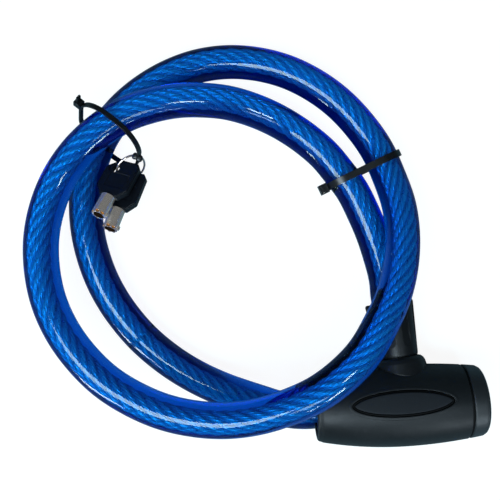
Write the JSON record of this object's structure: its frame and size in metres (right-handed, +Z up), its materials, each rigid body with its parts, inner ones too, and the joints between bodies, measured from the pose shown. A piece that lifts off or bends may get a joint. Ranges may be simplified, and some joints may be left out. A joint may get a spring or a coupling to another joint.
{
  "type": "coiled cable lock",
  "caption": "Barrel key lock on a thick plastic-covered steel cable that lies in two tied loops, with a locking pin, a rubber boot and two tubular keys on a ring.",
  "frame": {"origin": "on the ground, below the middle of the box round the lock, ties, ring and keys, without the cable and its plug", "axes": "+Z up from the ground, +X along the barrel from its mouth to its key end, +Y from the barrel towards the loops"},
  "size_m": [0.2304, 0.2179, 0.0557],
  "materials": {
    "soft_touch_cover": "soft-touch matte black",
    "matte_inlay": "fine-grained matte black",
    "boot_rubber": "moulded black rubber",
    "zinc": "die-cast zinc",
    "steel": "plated steel",
    "nickel": "bright nickel plate",
    "brass": "turned brass",
    "blue_jacket": "clear blue soft PVC",
    "wire_rope": "twisted galvanised wire",
    "tie_nylon": "black nylon",
    "key_plastic": "satin black plastic"
  },
  "bodies": {
    "lock": {"lock_cover": "soft_touch_cover", "end_cap": "soft_touch_cover", "oval_inlay": "matte_inlay", "lock_housing": "zinc", "outlet_collar": "boot_rubber", "cable_boot": "boot_rubber", "anchor_ferrule": "steel", "anchor_pin": "steel", "cylinder_case": "nickel", "case_pin": "steel", "pin_sleeve": "brass", "driver_pins": "brass", "driver_springs": "steel", "cable_loops": "blue_jacket", "cable_lead": "blue_jacket", "rope_loops": "wire_rope", "rope_lead": "wire_rope", "coil_tie": "tie_nylon", "key_tie": "tie_nylon", "key_ring": "nickel"},
    "core": {"cylinder_core": "brass", "key_pins": "brass", "core_cam": "steel"},
    "latch": {"latch_slider": "steel"},
    "plug": {"plug_ferrule": "steel", "locking_pin": "nickel"},
    "key_1": {"key_head_1": "key_plastic", "key_tube_1": "nickel"},
    "key_2": {"key_head_2": "key_plastic", "key_tube_2": "nickel"}
  },
  "joints": [
    {"name": "core_turn", "type": "hinge", "parent": "lock", "child": "core", "pos_m": [0.0837, -0.0756, 0.0209], "axis": [-1, 0, 0], "range_deg": [0, 90]},
    {"name": "latch_slide", "type": "slide", "parent": "lock", "child": "latch", "axis": [0, -0.1478, -0.989], "range_m": [0, 0.00426]},
    {"name": "plug_pull", "type": "slide", "parent": "lock", "child": "plug", "axis": [-1, 0, 0], "range_m": [0, 0.04], "deforming": ["cable_lead", "rope_lead"]},
    {"name": "key_1_swing", "type": "hinge", "parent": "lock", "child": "key_1", "pos_m": [-0.08267, 0.05805, 0.01585], "axis": [-0.0472, 0.4562, 0.8886], "range_deg": [-15, 0]},
    {"name": "key_2_swing", "type": "hinge", "parent": "lock", "child": "key_2", "pos_m": [-0.08031, 0.05222, 0.01188], "axis": [-0.0472, 0.4562, 0.8886], "range_deg": [0, 15]}
  ],
  "couplings": [
    {"joint": "latch_slide", "follows": "core_turn", "m_per_rad": 0.0027009}
  ]
}
